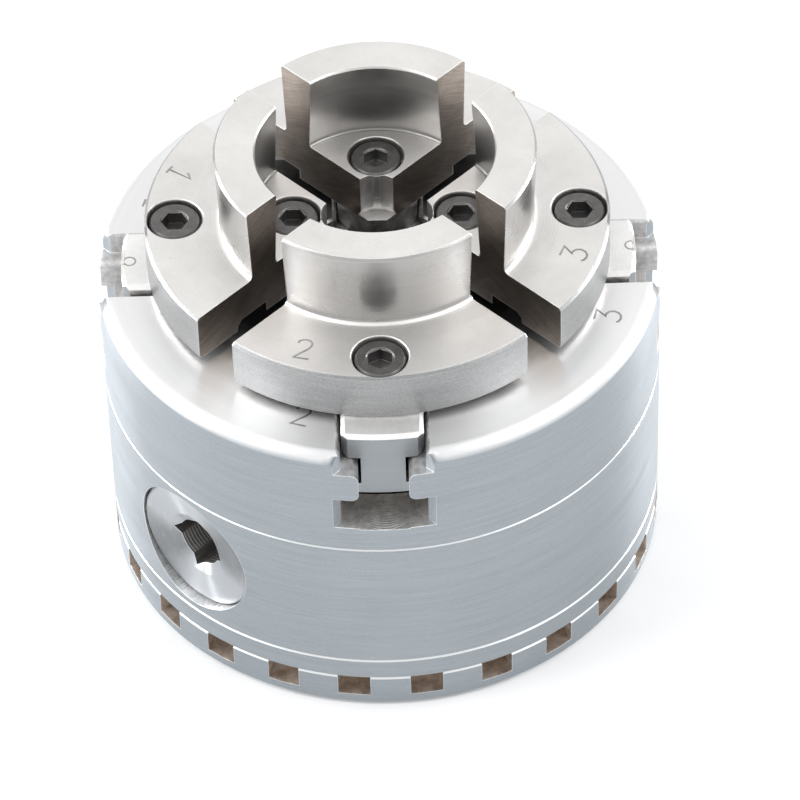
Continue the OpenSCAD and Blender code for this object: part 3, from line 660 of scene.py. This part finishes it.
def thread_cutter():
    """A core whose surface is the spindle thread: rows follow the helix, six to each turn."""
    crest = THREAD_CREST_R - 0.02
    profile = [(0.0, crest), (0.12, crest), (0.42, THREAD_ROOT_R - 0.1),
               (0.47, THREAD_ROOT_R), (0.65, THREAD_ROOT_R), (0.70, THREAD_ROOT_R - 0.1)]
    per_turn = len(profile)
    columns = THREAD_COLUMNS
    turns = math.ceil((THREAD_END_Z - THREAD_START_Z) / THREAD_PITCH)
    shape = bmesh.new()
    grid = {}
    for i in range(columns):
        angle = math.tau * i / columns
        for j in range(turns * per_turn + 1 + (per_turn if i == 0 else 0)):
            phase, r = profile[j % per_turn]
            z = THREAD_START_Z + THREAD_PITCH * (j // per_turn + phase - 1 + (i / columns))
            grid[i, j] = shape.verts.new(Vector((r * math.cos(angle), r * math.sin(angle), z)) * MM)
    last = turns * per_turn
    for j in range(last + 1):
        grid[columns, j] = grid[0, j + per_turn]
    for i in range(columns):
        for j in range(last):
            shape.faces.new((grid[i, j], grid[i + 1, j], grid[i + 1, j + 1], grid[i, j + 1]))
    for j, z in ((0, THREAD_START_Z - 2 * THREAD_PITCH), (last, THREAD_END_Z + 3 * THREAD_PITCH)):
        centre = shape.verts.new(Vector((0, 0, z * MM)))
        loop = [grid[i, j] for i in range(columns + 1)]
        loop += [grid[0, j + k] for k in range(per_turn - 1, 0, -1)]
        for k, vert in enumerate(loop):
            shape.faces.new((centre, vert, loop[(k + 1) % len(loop)]))
    return mesh_object("cutter", shape)


def cut_copy(node, cutters, name):
    """A copy of a CAD node with the cutters taken out of it. It stands for the node."""
    shape = bmesh.new()
    shape.from_mesh(node.data)
    bmesh.ops.remove_doubles(shape, verts=shape.verts, dist=WELD_MM * MM)
    bmesh.ops.dissolve_limit(shape, angle_limit=math.radians(FLAT_DEGREES), verts=shape.verts,
                             edges=shape.edges)
    made = mesh_object(name, shape)
    for cutter in cutters:
        cut = made.modifiers.new("cut", "BOOLEAN")
        cut.operation = "DIFFERENCE"
        cut.solver = "EXACT"
        cut.object = cutter
    depsgraph = bpy.context.evaluated_depsgraph_get()
    result = bpy.data.meshes.new_from_object(made.evaluated_get(depsgraph))
    made.modifiers.clear()
    made.data = result
    for cutter in cutters:
        bpy.data.objects.remove(cutter)
    result.shade_smooth()
    result.set_sharp_from_angle(angle=math.radians(SHARP_DEGREES))
    even = made.modifiers.new("even normals", "WEIGHTED_NORMAL")
    even.keep_sharp = True
    return made


# Faces of a node by finish. Each chooser takes a face's centre in millimetres and its normal.

def body_face(c, v):
    """Finish of a face of the body's turned parts: side, top, slot, slot floor or inner."""
    r = math.hypot(c.x, c.y)
    radial = (v.x * c.x + v.y * c.y) / max(r, 0.001)
    if r > BODY_R - RIM_ROUNDING and radial > 0.15:
        return "side"
    if c.z > FACE_Z - TOUCH:
        return "top"
    if c.z < SLOT_FLOOR_Z + TOUCH and v.z > 0.9:
        return "slot_floor"
    return "slot"


def housing_face(c, v):
    """Finish of a face of the housing, plate or ring: side, notch, slot or inner.

    The pinion's pocket is milled, so it has the slots' finish.
    """
    r = math.hypot(c.x, c.y)
    radial = (v.x * c.x + v.y * c.y) / max(r, 0.001)
    if r > BODY_R - REAR_EDGE and radial > 0.5:
        return "side"
    if v.z < -0.5 and c.z < BACK_EDGE_Z:
        return "side"
    if c.z < INDEX_RING_H + 0.1 and r > NOTCH_R - 0.4:
        return "notch"
    outward, left = along(PINION_AZIMUTH)
    hole_r = math.hypot(c.dot(left), c.z - PINION_Z)
    if c.dot(outward) > POCKET_DEEP and hole_r < POCKET_R and c.z > POCKET_Z:
        return "slot"
    return "inner"


def pinion_face(c, v):
    """Finish of a face of the pinion: its turned face, the key socket or the hidden rest."""
    outward, left = along(PINION_AZIMUTH)
    deep = c.dot(outward)
    r = math.hypot(c.dot(left), c.z - PINION_Z)
    if deep > HEAD_DEEP and r > HEAD_R:
        return "pinion"
    if deep > PINION_FACE - 0.9 and r > SOCKET_R:
        return "pinion"
    if deep > PINION_FACE - 2 and v.dot(outward) > 0.3:
        return "pinion"
    if r < SOCKET_R + 0.1 and deep > HEAD_DEEP:
        return "socket"
    return "inner"


def slide_face(n):
    """Chooser for a jaw slide."""
    outward = along(JAW_AZIMUTH[n])[0]

    def choose(c, v):
        if c.z > SLIDE_TOP_Z - 0.8:
            return "slide_top"
        if c.dot(outward) > SLIDE_END_U and v.dot(outward) > 0.5:
            return "slide_end"
        return "slot"
    return choose


def jaw_face(n):
    """Chooser for a top jaw."""
    outward, left = along(JAW_AZIMUTH[n])

    def choose(c, v):
        u = c.dot(outward)
        s = c.dot(left)
        vu = v.dot(outward)
        vs = v.dot(left)
        for screw_u in SCREW_U:
            inward = vu * (screw_u - u) - vs * s
            if math.hypot(u - screw_u, s) < HEAD_HOLE_R + 0.1 and abs(v.z) < 0.99 and inward > 0:
                return "bored"
        at_tip = math.hypot(u - TIP_BORE_U, s) < TIP_BORE_R + 1.2
        if at_tip and c.z < FLANGE_Z - 0.01 and v.z > -0.5:
            return "bored"
        if vu < -0.68 and abs(abs(vs) - math.sqrt(0.5)) < 0.02:
            return "cut"
        r = math.hypot(u - JAW_AXIS_U, s)
        on_ring = FLANGE_Z + 0.01 < c.z < RING_Z - 0.005
        if on_ring and r < RING_INNER_R:
            return "ring_inside"
        if on_ring and (v.z < 0.7 or c.z > RING_Z - 3):
            return "ring_side"
        if v.z < -0.5:
            return "slot"
        if v.z < 0.998 and c.z < FLANGE_Z - 0.005 and r > RIM_R:
            return "rim"
        if c.z < FLANGE_Z + 0.6:
            return "flange"
        return "jaw"
    return choose


def finish_faces(obj, materials, choose, marks=()):
    """Gives each face of obj the material that choose(centre, normal) names.

    marks are the centres of stamped marks: what slopes near one, just below it, is its groove.
    """
    names = []
    picks = []
    for face in obj.data.polygons:
        centre = face.center / MM
        name = choose(centre, face.normal)
        # Faces of a stamped groove get the mark finish, a dark colour that is painted shade.
        if any((centre - mark).length < MARK_REACH and centre.z < mark.z - 0.005 for mark in marks):
            name = "mark"
        if name not in names:
            names.append(name)
        picks.append(names.index(name))
    obj.data.materials.clear()
    for name in names:
        obj.data.materials.append(materials[name])
    for face, pick in zip(obj.data.polygons, picks):
        face.material_index = pick


# Camera, stage and light

def make_camera():
    """The photograph's camera: aimed at the target, then swung so that it lands on its pixel."""
    azimuth = math.radians(CAMERA_AZIMUTH)
    elevation = math.radians(CAMERA_ELEVATION)
    roll = math.radians(CAMERA_ROLL)
    level = math.cos(elevation)
    back = Vector((math.sin(azimuth) * level, -math.cos(azimuth) * level, math.sin(elevation)))
    offset_x = (TARGET_PX[0] - FRAME_PX / 2) / FOCAL_PX
    offset_y = (TARGET_PX[1] - FRAME_PX / 2) / FOCAL_PX
    forward = -back
    right = forward.cross(Vector((0, 0, 1))).normalized()
    up = right.cross(forward)
    forward = (forward - right * offset_x + up * offset_y).normalized()
    right = forward.cross(Vector((0, 0, 1))).normalized()
    up = right.cross(forward)
    rolled_right = right * math.cos(roll) + up * math.sin(roll)
    rolled_up = up * math.cos(roll) - right * math.sin(roll)
    data = bpy.data.cameras.new("camera")
    data.sensor_width = 36
    data.lens = data.sensor_width * FOCAL_PX / FRAME_PX
    data.clip_start = 0.05
    camera = bpy.data.objects.new("camera", data)
    bpy.context.scene.collection.objects.link(camera)
    axes = Matrix((rolled_right, rolled_up, -forward)).transposed().to_4x4()
    camera.matrix_world = Matrix.Translation(CAMERA_TARGET + back * CAMERA_DISTANCE) @ axes
    bpy.context.scene.camera = camera


def make_floor():
    """A pale floor that the camera and metal see as white, and that keeps the object's shadow."""
    shape = bmesh.new()
    bmesh.ops.create_circle(shape, cap_ends=True, segments=96, radius=FLOOR_R)
    mesh = bpy.data.meshes.new("floor")
    shape.to_mesh(mesh)
    shape.free()
    floor = bpy.data.objects.new("floor", mesh)
    floor.location.z = -FLOOR_DROP
    bpy.context.scene.collection.objects.link(floor)
    material, tree, shader = new_material("floor")
    shader.inputs["Base Color"].default_value = (*FLOOR_COLOUR, 1)
    shader.inputs["Roughness"].default_value = 0.9
    shader.inputs["Specular IOR Level"].default_value = 0.1
    glow = add(tree, "ShaderNodeEmission")
    tree.links.new(times(tree, seen_as_backdrop(tree), FLOOR_GLOW), glow.inputs["Strength"])
    both = add(tree, "ShaderNodeAddShader")
    tree.links.new(shader.outputs[0], both.inputs[0])
    tree.links.new(glow.outputs[0], both.inputs[1])
    tree.links.new(both.outputs[0], tree.nodes["Material Output"].inputs["Surface"])
    mesh.materials.append(material)


def soft_box(name, azimuth, elevation, width, height, power):
    """An area light that faces the chuck from a direction, in degrees."""
    a = math.radians(azimuth)
    e = math.radians(elevation)
    direction = Vector((math.cos(a) * math.cos(e), math.sin(a) * math.cos(e), math.sin(e)))
    data = bpy.data.lights.new(name, "AREA")
    data.shape = "RECTANGLE"
    data.size = width
    data.size_y = height
    data.energy = power
    lamp = bpy.data.objects.new(name, data)
    lamp.location = CAMERA_TARGET + direction * SOFT_BOX_DISTANCE
    lamp.rotation_euler = direction.to_track_quat("Z", "Y").to_euler()
    bpy.context.scene.collection.objects.link(lamp)


def make_light():
    """Soft boxes high and low at the sides, in a world that is bright behind and beside the chuck.

    The world's level is for its light alone: the camera, and what metal mirrors, see it as white.
    """
    for name, values in SOFT_BOXES.items():
        soft_box(name, *values)
    world = bpy.data.worlds.new("studio")
    bpy.context.scene.world = world
    world.use_nodes = True
    tree = world.node_tree
    background = tree.nodes["Background"]
    coordinates = add(tree, "ShaderNodeTexCoord")
    split = add(tree, "ShaderNodeSeparateXYZ")
    tree.links.new(coordinates.outputs["Generated"], split.inputs[0])
    x, y, z = split.outputs
    behind = ramp(tree, plus(tree, y, times(tree, z, 0.15)), WORLD_DIM, 0.92, -0.12, 0.45)
    beside = ramp(tree, maths(tree, "ABSOLUTE", x), WORLD_DIM, 0.85, 0.6, 0.95)
    overhead = ramp(tree, z, 0, 0.3, 0.66, 0.95)
    level = plus(tree, maths(tree, "MAXIMUM", behind, beside), overhead)
    height = ramp(tree, z, 0, 1, 0.1, 0.62)
    seen = seen_as_backdrop(tree)
    strength = plus(tree, times(tree, level, maths(tree, "SUBTRACT", 1, seen)), seen)
    tree.links.new(strength, background.inputs["Strength"])
    sky = tint(tree, height, WORLD_LOW_COLOUR, WORLD_HIGH_COLOUR)
    tree.links.new(tint(tree, seen, sky, (1.0, 1.0, 1.0)), background.inputs["Color"])


def make_materials():
    """Every finish by the name that the choosers use."""
    pinion_axis = along(PINION_AZIMUTH)[0]
    return {
        # Painted shade and painted reflection: a darker, bluish copy of the body's steel.
        "side": turned_steel("shaded_body_side", (0.37, 0.406, 0.436), 0.34, anisotropic=0.8, lines=0.2,
                             line_mm=0.2, depth=0.003, grit=0.25, bevel=0.05, edge_wear_and_highlight=2.1,
                             # Painted highlight where the side curves to face up.
                             edge_radius=0.16, crown_highlight=(0.86, 0.87, 0.875)),
        # Painted shade: the top is darker towards the centre, between the jaws.
        "top": turned_steel("body_top", (0.91, 0.91, 0.91), 0.36, anisotropic=0.75, lines=0.05,
                            bevel=0.05, painted_shade_radii=(26, 37)),
        "slot": milled_steel("slot_steel", (0.76, 0.75, 0.745), 0.42),
        # Painted light: the slot floor is a lighter copy of the slot steel; its arcs are tool
        # marks.
        "slot_floor": milled_steel("lit_slot_floor_steel", (0.97, 0.96, 0.94), 0.38, 0.06, swirl=True),
        "notch": oiled_steel("notch_steel", (0.46, 0.38, 0.32), (0.92, 0.86, 0.80), 0.5),
        "inner": oiled_steel("inner_steel", (0.16, 0.15, 0.14), (0.34, 0.32, 0.30), 0.38),
        # Painted reflection: two opposite sectors of the turned face are painted darker.
        "pinion": turned_steel("pinion_steel", (0.48, 0.503, 0.525), 0.29, (0, 0, PINION_Z),
                               pinion_axis, anisotropic=0.97, line_mm=0.2, depth=0.006, painted_fan_turn=28,
                               edge_wear_and_highlight=2.1, edge_radius=0.3),
        "socket": socket_steel("socket_steel", (0.26, 0.255, 0.25), 0.36),
        "slide_end": turned_steel("slide_end_steel", (0.305, 0.326, 0.342), 0.36, anisotropic=0.2,
                                  edge_wear_and_highlight=1.6, edge_radius=0.25),
        # Painted shade: the stamped grooves are given a dark steel.
        "mark": oiled_steel("shaded_stamp_steel", (0.32, 0.31, 0.30), (0.50, 0.49, 0.48), 0.45),
        "jaw": blasted_steel("jaw_steel", (0.85, 0.835, 0.815), 0.46),
        # Painted light: the slide tops, in the jaws' shade, are a lighter copy of the jaw steel.
        "slide_top": blasted_steel("lit_slide_steel", (0.97, 0.965, 0.955), 0.52),
        "bored": turned_steel("bored_steel", (0.80, 0.785, 0.765), 0.40, anisotropic=0.3,
                              cloud=0.05, edge_wear_and_highlight=1.3, edge_radius=0.25),
        "insert": turned_steel("insert_steel", (0.36, 0.345, 0.33), 0.32, lines=0.2),
        "black": black_oxide("black_oxide"),
    }


def jaw_materials(n):
    """The finishes that turn with one jaw's own axis."""
    centre = along(JAW_AZIMUTH[n])[0] * JAW_AXIS_U
    return {
        "flange": blasted_steel("flange_steel_%d" % n, (0.87, 0.853, 0.832), 0.40, 0.005,
                                lines_between=(25.2, 28.8), centre=centre),
        "ring_side": turned_steel("ring_steel_%d" % n, (0.45, 0.443, 0.436), 0.29, centre,
                                  depth=0.003, anisotropic=0.4, cloud=0.05, edge_wear_and_highlight=1.2,
                                  edge_radius=0.3, bevel=0.25),
        # Painted shade: the grip is darker towards its bottom.
        "ring_inside": turned_steel("grip_steel_%d" % n, (0.64, 0.625, 0.61), 0.34, centre,
                                    lines=0.2, painted_shade_foot=RING_Z - 4, anisotropic=0.4, cloud=0.05,
                                    edge_wear_and_highlight=1.5, edge_radius=0.3, bevel=0.25),
        # Painted shade: the rim is a darker copy of the jaw steel.
        "rim": turned_steel("shaded_rim_steel_%d" % n, (0.37, 0.374, 0.378), 0.36, centre, depth=0.006,
                            lines=0.26, grit=0.5, anisotropic=0.2, cloud=0.05, edge_wear_and_highlight=1.6,
                            edge_radius=0.35, bevel=0.3),
        "cut": sawn_steel("sawn_steel_%d" % n, (0.235, 0.205, 0.182), 0.40, JAW_AZIMUTH[n]),
    }


def stand_for(piece, node_name, body):
    """A cut copy moves with its body and replaces its node, which is hidden."""
    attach(piece, body)
    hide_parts(node_name)


def main():
    """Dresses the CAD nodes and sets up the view."""
    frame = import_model()
    nodes = frame["nodes"]
    make_camera()
    bpy.context.scene.view_settings.view_transform = "Standard"
    materials = make_materials()

    cutters = []
    marks = []
    for n, where in BODY_DIGIT_PLACE.items():
        cutters += digit_cutters(n, JAW_AZIMUTH[n], where, FACE_Z)
        marks.append(mark_centre(JAW_AZIMUTH[n], where, FACE_Z))
    body = cut_copy(nodes["front_body"], cutters, "numbered_body")
    finish_faces(body, materials, body_face, marks)
    stand_for(body, "front_body", "chuck_body")

    insert = cut_copy(nodes["spindle_insert"], [thread_cutter()], "threaded_insert")
    finish_faces(insert, materials, lambda c, v: "insert")
    stand_for(insert, "spindle_insert", "chuck_body")

    for name in ("rear_housing", "back_plate", "index_ring"):
        finish_faces(nodes[name], materials, housing_face)
    finish_faces(nodes["pinion"], materials, pinion_face)
    finish_faces(nodes["scroll_ring"], materials, lambda c, v: "inner")
    for name, node in nodes.items():
        if "screw" in name:
            finish_faces(node, materials, lambda c, v: "black")

    for n, azimuth in JAW_AZIMUTH.items():
        own = {**materials, **jaw_materials(n)}
        cutters = digit_cutters(n, azimuth, JAW_DIGIT_PLACE[n], FLANGE_Z)
        jaw = cut_copy(nodes["top_jaw_%d" % n], cutters, "numbered_jaw_%d" % n)
        marks = [mark_centre(azimuth, JAW_DIGIT_PLACE[n], FLANGE_Z)]
        finish_faces(jaw, own, jaw_face(n), marks)
        stand_for(jaw, "top_jaw_%d" % n, "jaw_%d" % n)
        wall = tip_wall(n)
        finish_faces(wall, own, lambda c, v: "bored")
        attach(wall, "jaw_%d" % n)
        slide = nodes["jaw_slide_%d" % n]
        stamps = []
        if n in RING_STAMP_PLACE:
            stamp = ring_cutter(azimuth, RING_STAMP_PLACE[n], SLIDE_TOP_Z)
            slide = cut_copy(slide, [stamp], "stamped_slide_%d" % n)
            stand_for(slide, "jaw_slide_%d" % n, "jaw_%d" % n)
            stamps = [mark_centre(azimuth, RING_STAMP_PLACE[n], SLIDE_TOP_Z)]
        finish_faces(slide, own, slide_face(n), stamps)

    make_floor()
    make_light()


main()
